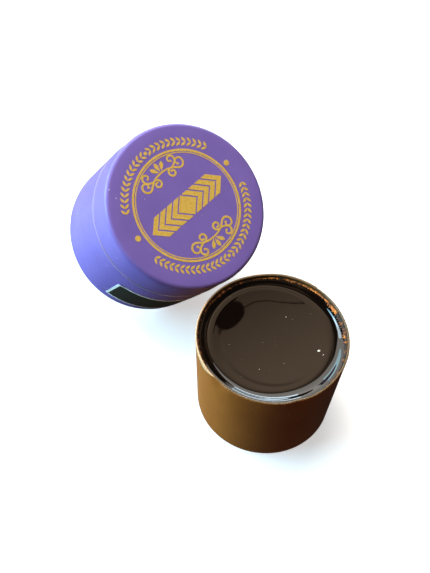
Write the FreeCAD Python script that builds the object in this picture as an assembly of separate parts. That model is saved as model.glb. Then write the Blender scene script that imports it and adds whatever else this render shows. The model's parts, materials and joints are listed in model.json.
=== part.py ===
"""Cake of bass rosin in its card cup, with the moulded container it is sold in leaning beside it.

Millimetres, +Z up. The origin is the centre of the cup's flat underside, where the cup stands.
The container stands on its foot's edge at -X and leans towards +X, so that its lid comes up to
the cup's rim. Its pieces are drawn upright about their own axis and then leaned into place.
"""
import FreeCAD, Part
import math
import os

V = FreeCAD.Vector

# Cup and cake
CUP_HEIGHT = 30.7
CUP_RIM_RADIUS = 20.0
CUP_FOOT_RADIUS = 18.5
CUP_WALL = 0.6
CUP_RIM_ROUND = 0.12
CUP_BASE_THICK = 1.4
CAKE_BELOW_RIM = 1.3
MENISCUS_DROP = 0.75
MENISCUS_WIDTH = 3.4
MENISCUS_TURN = (0.3, 0.72)

# Container, closed
CONTAINER_HEIGHT = 38.2
LID_FACE_RADIUS = 22.7
SEAM_RADIUS = 23.1
FOOT_RADIUS = 22.9
FOOT_ROUND = 3.2
SKIRT_LENGTH = 10.4
SEAM_GAP = 0.1

# Lid
LID_EDGE_ROUND = 1.2
LID_TOP_THICK = 1.4
SKIRT_END_RADIUS = 22.88
SKIRT_END_ROUND = 0.1
SKIRT_BORE_RADIUS = 21.75
SKIRT_LEAD_IN = 0.3
CEILING_ROUND = 0.5

# Tub
NECK_RADIUS = 21.55
NECK_TOP_CLEARANCE = 0.5
NECK_ROUND = 0.4
SHOULDER_ROUND = 0.08
BORE_RADIUS = 20.6
BORE_FLOOR_ROUND = 1.5
FLOOR_THICK = 2.0
FOOT_RECESS_RADIUS = 17.5
FOOT_RECESS_DEPTH = 0.6

# Blank paper label round part of the tub's wall
LABEL_THICK = 0.1
LABEL_FROM_ANGLE = -70.0
LABEL_TO_ANGLE = 30.0
LABEL_LOW = 6.5
LABEL_HIGH = 20.5

# Where the container leans: its foot's rounded edge stands level with the cup's underside
LEAN_ANGLE = 31.25
BASE_CENTRE_X = -59.15
BASE_CENTRE_Y = 4.2
FOOT_CLEARANCE = 0.02

# Gold print on the lid's face
PRINT_THICK = 0.05
PRINT_TURN = 97.5
RING_LINES = ((14.35, 14.62), (14.85, 15.45))
PRINT_STROKE = 0.42
DOT_RADIUS = 0.8
DOT_ORBIT = 17.1
DOT_ANGLES = (6.0, 174.0)
LEAF_LENGTH = 1.75
LEAF_WIDTH = 0.66
LEAF_LEAN = 42.0
LEAF_BELLY = 0.55
LEAF_ORBIT = 17.45
WREATH_DOT_RADIUS = 0.5
BAND_LENGTH = 26.4
BAND_HEIGHT = 6.4
BAND_GAP = 0.55
LOZENGE_HALF_WIDTH = 3.4
CHEVRONS_EACH_SIDE = 4
FLOURISH_BASE = 8.3
PETAL_LENGTH = 3.1
PETAL_WIDTH = 1.1
PETAL_FAN = 38.0
PETAL_ROOT = (0.25, 2.7)

# Leaf arcs outside the ring: (side of the band, first and last angle from its end, leaf pairs)
WREATH_ARCS = ((1, 29.0, 84.0, 12), (-1, 16.0, 84.0, 15))

# Scrolls of half a flourish: (start x, start above the base line, heading, arcs, ball radius),
# with each arc as (radius, turn in degrees, + to the left)
SCROLLS = (
    (0.0, 2.6, 4, ((6.5, -42), (9.0, 5), (1.4, 150), (1.05, 100), (0.72, 90)), 0.36),
    (2.9, 2.2, 192, ((1.7, 45), (0.98, 140), (0.74, 110), (0.5, 60)), 0.32),
    (2.9, 2.1, -8, ((2.8, 56), (1.15, 115), (0.85, 100), (0.55, 80)), 0.32),
)


def turned(corners):
    """Revolve a closed outline of (radius, height, rounding) corners about the Z axis."""
    points = [V(radius, 0, height) for radius, height, rounding in corners]
    count = len(points)
    entries, exits, middles = [], [], []
    for index in range(count):
        here = points[index]
        back = (points[index - 1] - here).normalize()
        ahead = (points[(index + 1) % count] - here).normalize()
        rounding = corners[index][2]
        half_angle = back.getAngle(ahead) / 2
        reach = rounding / math.tan(half_angle) if rounding else 0.0
        entries.append(here + back * reach)
        exits.append(here + ahead * reach)
        inward = back + ahead
        if rounding:
            depth = rounding / math.sin(half_angle) - rounding
            middles.append(here + inward.normalize() * depth)
        else:
            middles.append(None)
    edges = []
    for index in range(count):
        if middles[index] is not None:
            arc = Part.Arc(entries[index], middles[index], exits[index])
            edges.append(arc.toShape())
        following = (index + 1) % count
        if exits[index].distanceToPoint(entries[following]) > 1e-6:
            edges.append(Part.LineSegment(exits[index], entries[following]).toShape())
    face = Part.Face(Part.Wire(edges))
    return face.revolve(V(0, 0, 0), V(0, 0, 1), 360)


def leaned(shape):
    """Carry a container piece from upright on its own base to its leaning place."""
    lean = math.radians(LEAN_ANGLE)
    foot_drop = (FOOT_RADIUS - FOOT_ROUND) * math.sin(lean) + FOOT_ROUND * (1 - math.cos(lean))
    base = V(BASE_CENTRE_X, BASE_CENTRE_Y, foot_drop + FOOT_CLEARANCE)
    turn = FreeCAD.Rotation(V(0, 1, 0), LEAN_ANGLE)
    placed = shape.copy()
    placed.Placement = FreeCAD.Placement(base, turn).multiply(placed.Placement)
    return placed


# ---------------------------------------------------------------- cup and cake

def cup_outer(height):
    """The cup's outer radius at a height above its foot."""
    share = height / CUP_HEIGHT
    return CUP_FOOT_RADIUS + (CUP_RIM_RADIUS - CUP_FOOT_RADIUS) * share


def cup_inner(height):
    """The cup's inner radius at a height above its foot."""
    return cup_outer(height) - CUP_WALL


def cup_wall():
    """Thin tapered sleeve, open at both ends, with a softened rim."""
    return turned([
        (cup_inner(0), 0, 0),
        (cup_outer(0), 0, 0),
        (cup_outer(CUP_HEIGHT), CUP_HEIGHT, CUP_RIM_ROUND),
        (cup_inner(CUP_HEIGHT), CUP_HEIGHT, CUP_RIM_ROUND),
    ])


def cup_base():
    """Round card plug inside the sleeve's foot, flush with it."""
    return turned([
        (0, 0, 0),
        (cup_inner(0), 0, 0),
        (cup_inner(CUP_BASE_THICK), CUP_BASE_THICK, 0),
        (0, CUP_BASE_THICK, 0),
    ])


def rosin_cake():
    """The casting: it fills the cup, and its surface rises to the wall in a meniscus."""
    wall_height = CUP_HEIGHT - CAKE_BELOW_RIM
    flat_height = wall_height - MENISCUS_DROP
    wall_radius = cup_inner(wall_height)
    flat_radius = wall_radius - MENISCUS_WIDTH
    foot = V(0, 0, CUP_BASE_THICK)
    foot_edge = V(cup_inner(CUP_BASE_THICK), 0, CUP_BASE_THICK)
    shore = V(wall_radius, 0, wall_height)
    flat_edge = V(flat_radius, 0, flat_height)
    centre = V(0, 0, flat_height)
    inset, drop = MENISCUS_TURN
    slope_point = V(wall_radius - MENISCUS_WIDTH * inset, 0, wall_height - MENISCUS_DROP * drop)
    meniscus = Part.BSplineCurve()
    meniscus.interpolate(Points=[shore, slope_point, flat_edge],
                         Tangents=[V(-0.5, 0, -1), V(-1, 0, -0.35), V(-1, 0, 0)],
                         TangentFlags=[True, True, True])
    edges = [
        Part.LineSegment(foot, foot_edge).toShape(),
        Part.LineSegment(foot_edge, shore).toShape(),
        meniscus.toShape(),
        Part.LineSegment(flat_edge, centre).toShape(),
        Part.LineSegment(centre, foot).toShape(),
    ]
    return Part.Face(Part.Wire(edges)).revolve(V(0, 0, 0), V(0, 0, 1), 360)


# ---------------------------------------------------------------- container

def shoulder_height():
    """Height of the ledge that the lid's skirt comes down to."""
    return CONTAINER_HEIGHT - SKIRT_LENGTH - SEAM_GAP


def tub_outer(height):
    """The tub's outer radius at a height, with a slight draft."""
    share = height / shoulder_height()
    return FOOT_RADIUS + (SEAM_RADIUS - FOOT_RADIUS) * share


def tub():
    """Moulded tub: recessed foot, drafted wall, and a stepped-in neck for the lid."""
    ledge = shoulder_height()
    neck_top = CONTAINER_HEIGHT - LID_TOP_THICK - NECK_TOP_CLEARANCE
    return turned([
        (0, FOOT_RECESS_DEPTH, 0),
        (FOOT_RECESS_RADIUS, FOOT_RECESS_DEPTH, 0),
        (FOOT_RECESS_RADIUS, 0, 0),
        (FOOT_RADIUS, 0, FOOT_ROUND),
        (tub_outer(ledge), ledge, SHOULDER_ROUND),
        (NECK_RADIUS, ledge, 0),
        (NECK_RADIUS, neck_top, NECK_ROUND),
        (BORE_RADIUS, neck_top, NECK_ROUND),
        (BORE_RADIUS, FLOOR_THICK, BORE_FLOOR_ROUND),
        (0, FLOOR_THICK, 0),
    ])


def lid():
    """Moulded cap: flat face, rounded edge, and a flared skirt over the tub's neck."""
    skirt_end = CONTAINER_HEIGHT - SKIRT_LENGTH
    ceiling = CONTAINER_HEIGHT - LID_TOP_THICK
    return turned([
        (0, CONTAINER_HEIGHT, 0),
        (LID_FACE_RADIUS, CONTAINER_HEIGHT, LID_EDGE_ROUND),
        (SKIRT_END_RADIUS, skirt_end, SKIRT_END_ROUND),
        (SKIRT_BORE_RADIUS + SKIRT_LEAD_IN, skirt_end, 0),
        (SKIRT_BORE_RADIUS, skirt_end + SKIRT_LEAD_IN * 2, 0),
        (SKIRT_BORE_RADIUS, ceiling, CEILING_ROUND),
        (0, ceiling, 0),
    ])


def tub_label():
    """Blank paper label curved round the side of the tub that leans towards the cup."""
    low = tub_outer(LABEL_LOW)
    high = tub_outer(LABEL_HIGH)
    section = Part.makePolygon([
        V(low, 0, LABEL_LOW),
        V(low + LABEL_THICK, 0, LABEL_LOW),
        V(high + LABEL_THICK, 0, LABEL_HIGH),
        V(high, 0, LABEL_HIGH),
        V(low, 0, LABEL_LOW),
    ])
    strip = Part.Face(section).revolve(V(0, 0, 0), V(0, 0, 1), LABEL_TO_ANGLE - LABEL_FROM_ANGLE)
    strip.rotate(V(0, 0, 0), V(0, 0, 1), LABEL_FROM_ANGLE)
    return strip


# ---------------------------------------------------------------- print on the lid

def polar(radius, angle):
    """Point of the print at a radius and an angle in degrees."""
    return V(radius * math.cos(math.radians(angle)), radius * math.sin(math.radians(angle)), 0)


def film(edges):
    """Printed patch inside a closed run of edges."""
    return Part.Face(Part.Wire(edges)).extrude(V(0, 0, PRINT_THICK))


def disc(centre, radius):
    """Printed dot."""
    return Part.makeCylinder(radius, PRINT_THICK, centre)


def polygon_film(corners):
    """Printed patch with straight sides."""
    return Part.Face(Part.makePolygon(corners + corners[:1])).extrude(V(0, 0, PRINT_THICK))


def leaf(root, angle, length, width):
    """Pointed leaf from a root point, along a direction in degrees."""
    along = polar(1, angle)
    across = polar(1, angle + 90)
    tip = root + along * length
    belly = root + along * (length * LEAF_BELLY)
    left = Part.Arc(root, belly + across * (width / 2), tip).toShape()
    right = Part.Arc(tip, belly - across * (width / 2), root).toShape()
    return film([left, right])


def arc_stroke(centre, radius, start, end):
    """Printed stroke along an arc, with square ends."""
    inner = radius - PRINT_STROKE / 2
    outer = radius + PRINT_STROKE / 2
    middle = (start + end) / 2
    points = [[centre + polar(size, angle) for angle in (start, middle, end)]
              for size in (outer, inner)]
    return film([
        Part.Arc(*points[0]).toShape(),
        Part.LineSegment(points[0][2], points[1][2]).toShape(),
        Part.Arc(points[1][2], points[1][1], points[1][0]).toShape(),
        Part.LineSegment(points[1][0], points[0][0]).toShape(),
    ])


def scroll(start, heading, arcs, ball):
    """Run of tangent arcs, each (radius, turn in degrees, + to the left), ending in a ball."""
    place = start
    pieces = []
    for radius, turn in arcs:
        side = math.copysign(90, turn)
        centre = place + polar(radius, heading + side)
        start_angle = heading - side
        end_angle = start_angle + turn
        pieces.append(arc_stroke(centre, radius, start_angle, end_angle))
        place = centre + polar(radius, end_angle)
        heading += turn
    pieces.append(disc(place + polar(ball * 0.5, heading), ball))
    return pieces


def flourish():
    """Mirrored scroll ornament that grows outwards from its base line, with three petals."""
    root_x, root_y = PETAL_ROOT
    right = [leaf(V(root_x, FLOURISH_BASE + root_y, 0), 90 - PETAL_FAN, PETAL_LENGTH, PETAL_WIDTH)]
    for x, y, heading, arcs, ball in SCROLLS:
        right += scroll(V(x, FLOURISH_BASE + y, 0), heading, arcs, ball)
    left = [piece.mirror(V(0, 0, 0), V(1, 0, 0)) for piece in right]
    middle = leaf(V(0, FLOURISH_BASE + root_y, 0), 90, PETAL_LENGTH, PETAL_WIDTH)
    return middle.multiFuse(right + left).removeSplitter()


def wreath():
    """Leaf pairs in two arcs outside the ring, growing from the ends to a dot in the middle."""
    prints = []
    for side, first, last, pairs in WREATH_ARCS:
        prints.append(disc(polar(LEAF_ORBIT, side * 90), WREATH_DOT_RADIUS))
        for index in range(pairs):
            position = first + (last - first) * index / (pairs - 1)
            for start, growth in ((position, 1), (180 - position, -1)):
                root = polar(LEAF_ORBIT, side * start)
                heading = side * (start + growth * 90)
                for spread in (LEAF_LEAN, -LEAF_LEAN):
                    prints.append(leaf(root, heading + spread, LEAF_LENGTH, LEAF_WIDTH))
    return prints


def central_band():
    """Lozenge between rows of bold chevrons."""
    half = BAND_HEIGHT / 2
    width = LOZENGE_HALF_WIDTH
    shapes = [polygon_film([V(-width, 0, 0), V(0, -half, 0), V(width, 0, 0), V(0, half, 0)])]
    pitch = (BAND_LENGTH / 2 - width) / CHEVRONS_EACH_SIDE
    thick = pitch - BAND_GAP
    for side in (1, -1):
        for index in range(CHEVRONS_EACH_SIDE):
            tip = side * (width + BAND_GAP + pitch * index)
            arm = tip - side * width
            shapes.append(polygon_film([
                V(tip, 0, 0),
                V(arm, half, 0),
                V(arm + side * thick, half, 0),
                V(tip + side * thick, 0, 0),
                V(arm + side * thick, -half, 0),
                V(arm, -half, 0),
            ]))
    return shapes


def lid_print():
    """Everything printed in gold on the lid's flat face."""
    pieces = []
    for inner, outer in RING_LINES:
        ring = Part.makeCylinder(outer, PRINT_THICK).cut(Part.makeCylinder(inner, PRINT_THICK))
        pieces.append(ring)
    pieces += [disc(polar(DOT_ORBIT, angle), DOT_RADIUS) for angle in DOT_ANGLES]
    pieces += wreath()
    pieces += central_band()
    ornament = flourish()
    opposite = ornament.copy()
    opposite.rotate(V(0, 0, 0), V(0, 0, 1), 180)
    pieces += [ornament, opposite]
    whole = Part.makeCompound(pieces)
    whole.rotate(V(0, 0, 0), V(0, 0, 1), PRINT_TURN)
    whole.translate(V(0, 0, CONTAINER_HEIGHT))
    return whole


# ---------------------------------------------------------------- output

PIECES = {
    "cup_wall": cup_wall(),
    "cup_base": cup_base(),
    "rosin_cake": rosin_cake(),
    "tub": leaned(tub()),
    "tub_label": leaned(tub_label()),
    "lid": leaned(lid()),
    "lid_print": leaned(lid_print()),
}

os.makedirs("parts", exist_ok=True)
for name, shape in PIECES.items():
    shape.exportStep("parts/" + name + ".step")
    box = shape.BoundBox
    print(name, "valid", shape.isValid(), "solids", len(shape.Solids), "volume", round(shape.Volume, 2),
          "x", round(box.XMin, 2), round(box.XMax, 2), "y", round(box.YMin, 2), round(box.YMax, 2),
          "z", round(box.ZMin, 2), round(box.ZMax, 2))
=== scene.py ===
import json
import math

import bpy
import numpy as np
from mathutils import Matrix, Vector


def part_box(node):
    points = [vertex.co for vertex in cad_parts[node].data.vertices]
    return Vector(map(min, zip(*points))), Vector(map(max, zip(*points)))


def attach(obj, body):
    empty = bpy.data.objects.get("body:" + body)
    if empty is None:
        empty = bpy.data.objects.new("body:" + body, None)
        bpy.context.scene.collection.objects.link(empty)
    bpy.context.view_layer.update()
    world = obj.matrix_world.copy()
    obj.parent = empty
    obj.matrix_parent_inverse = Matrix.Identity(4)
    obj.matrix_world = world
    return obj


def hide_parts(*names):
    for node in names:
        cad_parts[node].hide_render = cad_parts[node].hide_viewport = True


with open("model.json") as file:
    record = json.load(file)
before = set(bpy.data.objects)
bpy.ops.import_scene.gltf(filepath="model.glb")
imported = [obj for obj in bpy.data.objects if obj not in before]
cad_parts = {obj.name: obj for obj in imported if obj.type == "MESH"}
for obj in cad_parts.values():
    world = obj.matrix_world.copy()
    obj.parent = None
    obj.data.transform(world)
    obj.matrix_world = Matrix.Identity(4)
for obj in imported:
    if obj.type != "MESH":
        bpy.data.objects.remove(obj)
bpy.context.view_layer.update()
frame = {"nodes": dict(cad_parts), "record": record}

MM = 0.001

# ---- sizes, in millimetres and degrees

TURN_STEPS = 288
FIT_MARGIN = 0.02

# Cup: a dent is (angle, width, depth), and a worn stretch of pale bare card, which also paints the
# rim's highlight on its lit side, starts, is deepest and ends at its angles
CUP_WALL = 0.6
CUP_RIM_ROUND = 0.26
CUP_BEAD_BELOW_RIM = 1.5
CUP_BEAD_HALF_HEIGHT = 0.3
CUP_BEAD_DEPTH = 0.16
CUP_SEAM_ANGLE = 100.0
CUP_SEAM_STEP = 0.16
CUP_SEAM_RAMP = 0.9
CUP_SEAM_FADE = (20.0, 80.0)
RIM_REACH = 9.0
RIM_WAVE = 0.05
RIM_DENTS = ((-86.0, 7.0, 0.34), (-24.0, 6.0, 0.3), (150.0, 16.0, 0.2))
DENT_DROP = 0.35
WORN_HIGHLIGHT_ANGLES = (-162.0, -104.0, -92.0)
WORN_HIGHLIGHT_DEPTH = 1.9
RIM_INSET = 0.03
BASE_THICK = 1.4
BASE_FLARE = 0.07
BASE_GAPS = (0.04, 0.05)
BASE_HOLLOW = 0.12
BASE_GROOVE = 0.3
BASE_GROOVE_RADII = (13.6, 14.0, 15.2, 15.6)

# Cake: the profile is (radius, depth below the rim), then come its unevenness, the shore where it
# meets the wall, the film that crept up there, and crumbs of (x, y, size)
CAKE_GAP = 0.06
CAKE_LIFT = 0.05
CAKE_TOP_ZONE = 4.0
CAKE_CHAMFER = (0.4, 0.3)
CAKE_PROFILE = ((0.0, 2.35), (15.2, 2.345), (16.2, 2.3), (16.8, 2.2), (17.3, 2.03), (17.8, 1.7),
                (18.25, 1.32), (18.7, 1.1), (19.1, 1.02))
SURFACE_STEPS = (5, 44)
MENISCUS_RADII = (15.5, 19.1)
MENISCUS_WAVE = 0.07
SHIFT_RADII = (12.0, 16.0, 19.2)
FLAT_SHIFT = 0.6
FLAT_SHIFT_ANGLE = -164.0
FLAT_WAVE = 0.15
BACK_SHIFT = 0.7
BACK_SHIFT_ANGLE = 132.0
SHELF_RADII = (12.6, 13.9)
SHELF_RISE = 0.045
SHELF_ANGLE = -66.0
SHORE_DEPTH = 0.98
SHORE_TILT = 0.28
SHORE_HIGH_ANGLE = -45.0
FILM_REACH = (18.0, 19.15)
FILM_RICH_ANGLE = 112.0
FILM_RICH_COSINE = 0.78
FILM_RISE = (0.08, 0.5)
FILM_TEETH = 150
FILM_TOOTH_STEPS = 10
FILM_MISSING_TEETH = 0.2
CRUMB_SIDES = 7
CRUMB_LAYERS = ((1.0, -0.02), (0.85, 0.35), (0.35, 0.6))
CRUMBS = ((10.1, 7.25, 0.42), (11.6, 7.3, 0.16), (-6.2, -9.4, 0.1), (4.2, -8.4, 0.12),
          (-3.0, 7.9, 0.13), (7.0, -2.2, 0.09), (1.8, 1.4, 0.08))

# Container: heights are from the tub's foot, and the snap bead's from the end of the skirt; the
# label's grid and its white margin are (columns, rows)
EDGE_ROUND = 1.2
LID_TOP_THICK = 1.4
SKIRT_LENGTH = 10.4
SKIRT_BORE_RADIUS = 21.75
SEAL_RING_RADIUS = 19.6
SEAL_RING_HEIGHT = 0.45
SEAL_RING_HALF_WIDTHS = (0.35, 0.25)
SNAP_BEAD_HEIGHT = 3.0
SNAP_BEAD_HALF_HEIGHT = 0.4
SNAP_BEAD_DEPTH = 0.09
LEAD_IN = (0.3, 0.6)
SKIRT_END_ROUND = 0.08
SHOULDER_ROUND = 0.06
SHOULDER_INSET = 0.06
SEAM_GAP = 0.1
FOOT_ROUND = 3.2
NECK_RADIUS = 21.55
NECK_TOP_CLEARANCE = 0.5
BORE_RADIUS = 20.6
FLOOR_THICK = 2.0
RECESS_RADIUS = 17.5
RECESS_DEPTH = 0.6
RECESS_STEP = 0.2
RECESS_BORDER = 3.0
GATE_RADII = (1.1, 1.4)
GATE_HEIGHT = 0.35
LABEL_FACES = (0.027, 0.115)
LABEL_ANGLES = (-70.0, 30.0)
LABEL_HEIGHTS = (6.5, 20.5)
LABEL_GRID = (120, 24)
LABEL_MARGIN = (2, 1)
LABEL_WRINKLE = 0.015
LABEL_PEEL = 0.35
LABEL_PEEL_REACH = 3.0

# Print: an arc of leaves is (side, first angle, last angle, pairs), and a scroll is
# (x, y, heading, arcs of (radius, turn), radius of its ball)
CURVE_STEPS = 24
DOT_STEPS = 40
RING_STEPS = 360
PRINT_THICK = 0.05
PRINT_STAGGER = 0.0011
PRINT_LEVELS = 7
PRINT_TURN = 97.5
RING_LINES = ((14.35, 14.62), (14.85, 15.45))
STROKE_WIDTHS = (0.3, 0.56)
DOT_RADIUS = 0.8
DOT_ORBIT = 17.1
DOT_ANGLES = (6.0, 174.0)
LEAF_ORBIT = 17.45
LEAF_LENGTH = 1.75
LEAF_WIDTH = 0.66
LEAF_LEAN = 42.0
LEAF_TIP_HALF_WIDTH = 0.012
BAND_LENGTH = 26.4
BAND_HEIGHT = 6.4
BAND_GAP = 0.55
LOZENGE_HALF_WIDTH = 3.4
CHEVRONS_EACH_SIDE = 4
FLOURISH_BASE = 8.3
PETAL_LENGTH = 3.1
PETAL_WIDTH = 1.1
PETAL_BELLY = 0.66
PETAL_FAN = 38.0
PETAL_ROOT = (0.25, 2.7)
WREATH_ARCS = ((1, 29.0, 84.0, 12), (-1, 16.0, 84.0, 15))
WREATH_DOT_RADIUS = 0.5
SCROLLS = (
    (0.0, 2.6, 4, ((6.5, -42), (9.0, 5), (1.4, 150), (1.05, 100), (0.72, 90)), 0.36),
    (2.9, 2.2, 192, ((1.7, 45), (0.98, 140), (0.74, 110), (0.5, 60)), 0.32),
    (2.9, 2.1, -8, ((2.8, 56), (1.15, 115), (0.85, 100), (0.55, 80)), 0.32),
)


# ---- mesh helpers

def rounded(corners, steps=6):
    """Points of an outline of (radius, height) corners, with an arc where a rounding follows."""
    places = [Vector((c[0], c[1])) for c in corners]
    outline = []
    for index, here in enumerate(places):
        if len(corners[index]) < 3:
            outline.append((here.x, here.y))
            continue
        rounding = corners[index][2]
        back = (places[index - 1] - here).normalized()
        ahead = (places[(index + 1) % len(places)] - here).normalized()
        half = back.angle(ahead) / 2
        centre = here + (back + ahead).normalized() * (rounding / math.sin(half))
        first = here + back * (rounding / math.tan(half)) - centre
        last = here + ahead * (rounding / math.tan(half)) - centre
        sweep = first.angle(last)
        for step in range(steps + 1):
            share = step / steps
            blend = first * math.sin((1 - share) * sweep) + last * math.sin(share * sweep)
            point = centre + blend / math.sin(sweep)
            outline.append((point.x, point.y))
    return outline


def densified(outline, longest, closed):
    """The outline with extra points, so that no side is longer than a limit."""
    result = []
    count = len(outline)
    for index in range(count if closed else count - 1):
        start = np.array(outline[index])
        end = np.array(outline[(index + 1) % count])
        parts = max(1, math.ceil(np.linalg.norm(end - start) / longest))
        result += [tuple(start + (end - start) * k / parts) for k in range(parts)]
    if not closed:
        result.append(outline[-1])
    return result


def scene_object(name, data):
    """New object in the scene, for a mesh, lamp or camera."""
    thing = bpy.data.objects.new(name, data)
    bpy.context.scene.collection.objects.link(thing)
    return thing


def mesh_object(name, vertices, faces, materials, material_of=None, sharp=35.0):
    """Mesh object from points in millimetres, smooth-shaded with its sharp edges kept."""
    mesh = bpy.data.meshes.new(name)
    mesh.from_pydata((np.asarray(vertices, float) * MM).tolist(), [], faces)
    for material in materials:
        mesh.materials.append(material)
    if material_of is not None:
        mesh.polygons.foreach_set("material_index", np.asarray(material_of, dtype=np.int32))
    mesh.validate()
    mesh.update()
    mesh.shade_smooth()
    mesh.set_sharp_from_angle(angle=math.radians(sharp))
    return scene_object(name, mesh)


def ring_faces(low, high, count):
    """Faces between two closed rings of vertices, which start at these indices."""
    return [(low + k, low + (k + 1) % count, high + (k + 1) % count, high + k) for k in range(count)]


def around(angles, radii, heights):
    """Vertices round Z, one at each angle."""
    return list(zip(radii * np.cos(angles), radii * np.sin(angles), heights))


def turned(name, outline, materials, closed=False, warp=None, material_at=None, steps=TURN_STEPS):
    """Turn an outline of (radius, height) about Z; an open outline starts and ends on the axis."""
    angles = np.linspace(0, 2 * np.pi, steps, endpoint=False)
    middles = (angles + np.pi / steps + np.pi) % (2 * np.pi) - np.pi
    vertices = []
    rings = []
    for radius, height in outline:
        on_axis = radius < 1e-6
        rings.append((len(vertices), on_axis))
        if on_axis:
            vertices.append((0.0, 0.0, height))
            continue
        radii, heights = np.full(steps, radius), np.full(steps, height)
        if warp:
            radii, heights = warp(angles, radii, heights)
        vertices += around(angles, radii, heights)
    faces = []
    kinds = []
    count = len(rings)
    for index in range(count if closed else count - 1):
        (low, low_on_axis), (high, high_on_axis) = rings[index], rings[(index + 1) % count]
        if low_on_axis:
            faces += [(low, high + (k + 1) % steps, high + k) for k in range(steps)]
        elif high_on_axis:
            faces += [(low + k, low + (k + 1) % steps, high) for k in range(steps)]
        else:
            faces += ring_faces(low, high, steps)
        kinds += [material_at(index, middle) if material_at else 0 for middle in middles]
    return mesh_object(name, vertices, faces, materials, kinds)


def smooth_step(value, start=0.0, end=1.0):
    """Smooth ramp: 0 up to a start value and 1 from an end value on."""
    share = np.clip((value - start) / (end - start), 0.0, 1.0)
    return share * share * (3 - 2 * share)


def ripple(angles, seed, waves, falloff=1.0):
    """Seamless random wave round a circle, about -1 to 1."""
    rng = np.random.default_rng(seed)
    total = np.zeros_like(angles)
    size = 0.0
    for wave in waves:
        strength = wave ** -falloff
        total += strength * np.sin(wave * angles + rng.uniform(0, 2 * np.pi))
        size += strength
    return total / size


# ---- material helpers

class Nodes:
    """Small builder for a node material around one Principled shader."""

    def __init__(self, name, **sockets):
        self.material = bpy.data.materials.new(name)
        self.material.use_nodes = True
        self.tree = self.material.node_tree
        self.shader = self.tree.nodes["Principled BSDF"]
        for socket, value in sockets.items():
            self.shader.inputs[socket.replace("_", " ")].default_value = value
        self.place = self.add("ShaderNodeTexCoord").outputs["Object"]

    def add(self, kind, values=None, **settings):
        """New node with its settings, and with values for some of its inputs."""
        node = self.tree.nodes.new(kind)
        for key, value in settings.items():
            setattr(node, key, value)
        for socket, value in (values or {}).items():
            node.inputs[socket].default_value = value
        return node

    def link(self, source, target):
        """Wire an output to an input."""
        self.tree.links.new(source, target)

    def scaled_place(self, per_mm, stretch=(1, 1, 1)):
        """Object coordinates scaled for a texture with this many features in a millimetre."""
        scale = [factor * per_mm / MM for factor in stretch]
        mapping = self.add("ShaderNodeMapping", {"Scale": scale})
        self.link(self.place, mapping.inputs["Vector"])
        return mapping.outputs["Vector"]

    def noise(self, per_mm, detail=3.0, rough=0.55, stretch=(1, 1, 1), distortion=0.0):
        """Noise with about this many features in a millimetre, 0 to 1."""
        texture = self.add("ShaderNodeTexNoise", {"Scale": 1.0, "Detail": detail, "Roughness": rough,
                                                  "Distortion": distortion})
        self.link(self.scaled_place(per_mm, stretch), texture.inputs["Vector"])
        return texture.outputs["Fac"]

    def specks(self, per_mm, size):
        """Round specks, one in each texture cell: 1 inside a speck, 0 outside."""
        cells = self.add("ShaderNodeTexVoronoi", {"Scale": 1.0})
        self.link(self.scaled_place(per_mm), cells.inputs["Vector"])
        return self.ramp(cells.outputs["Distance"], ((size * 0.6, 1.0), (size, 0.0)))

    def sparse_specks(self, per_mm, size, patches_per_mm, full_above):
        """Specks only where a slow noise is high, as dust gathers."""
        specks = self.specks(per_mm, size)
        patches = self.ramp(self.noise(patches_per_mm), ((0.5, 0.0), (full_above, 1.0)))
        return self.math("MULTIPLY", specks, patches)

    def ramp(self, factor, stops):
        """Grey ramp of (position, value) or colour ramp of (position, (r, g, b)) stops."""
        ramp = self.add("ShaderNodeValToRGB")
        elements = ramp.color_ramp.elements
        while len(elements) < len(stops):
            elements.new(0.5)
        for element, (position, value) in zip(elements, stops):
            element.position = position
            colour = value if isinstance(value, tuple) else (value,) * 3
            element.color = (*colour, 1.0)
        self.link(factor, ramp.inputs["Fac"])
        return ramp.outputs["Color"]

    def math(self, operation, first, second):
        """Result of an operation on two values; each is a number or an output."""
        node = self.add("ShaderNodeMath", operation=operation)
        for socket, value in zip(node.inputs, (first, second)):
            if isinstance(value, (int, float)):
                socket.default_value = value
            else:
                self.link(value, socket)
        return node.outputs["Value"]

    def spotted(self, factor, base, spot):
        """The base output, with a fixed colour where the factor is 1."""
        node = self.add("ShaderNodeMix", data_type="RGBA")
        amount, under, over = [socket for socket in node.inputs if socket.enabled]
        self.link(factor, amount)
        self.link(base, under)
        over.default_value = (*spot, 1.0)
        return next(socket for socket in node.outputs if socket.enabled)

    def colour(self, source):
        """Set the base colour from an output."""
        self.link(source, self.shader.inputs["Base Color"])

    def roughness(self, factor, low, high):
        """Vary the roughness between two values."""
        span = self.add("ShaderNodeMapRange", {"To Min": low, "To Max": high})
        self.link(factor, span.inputs["Value"])
        self.link(span.outputs["Result"], self.shader.inputs["Roughness"])

    def bump(self, layers):
        """Stack of (height output, depth in millimetres) bumps."""
        normal = None
        for height, depth in layers:
            node = self.add("ShaderNodeBump", {"Strength": 1.0, "Distance": depth * MM})
            self.link(height, node.inputs["Height"])
            if normal is not None:
                self.link(normal, node.inputs["Normal"])
            normal = node.outputs["Normal"]
        self.link(normal, self.shader.inputs["Normal"])


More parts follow.
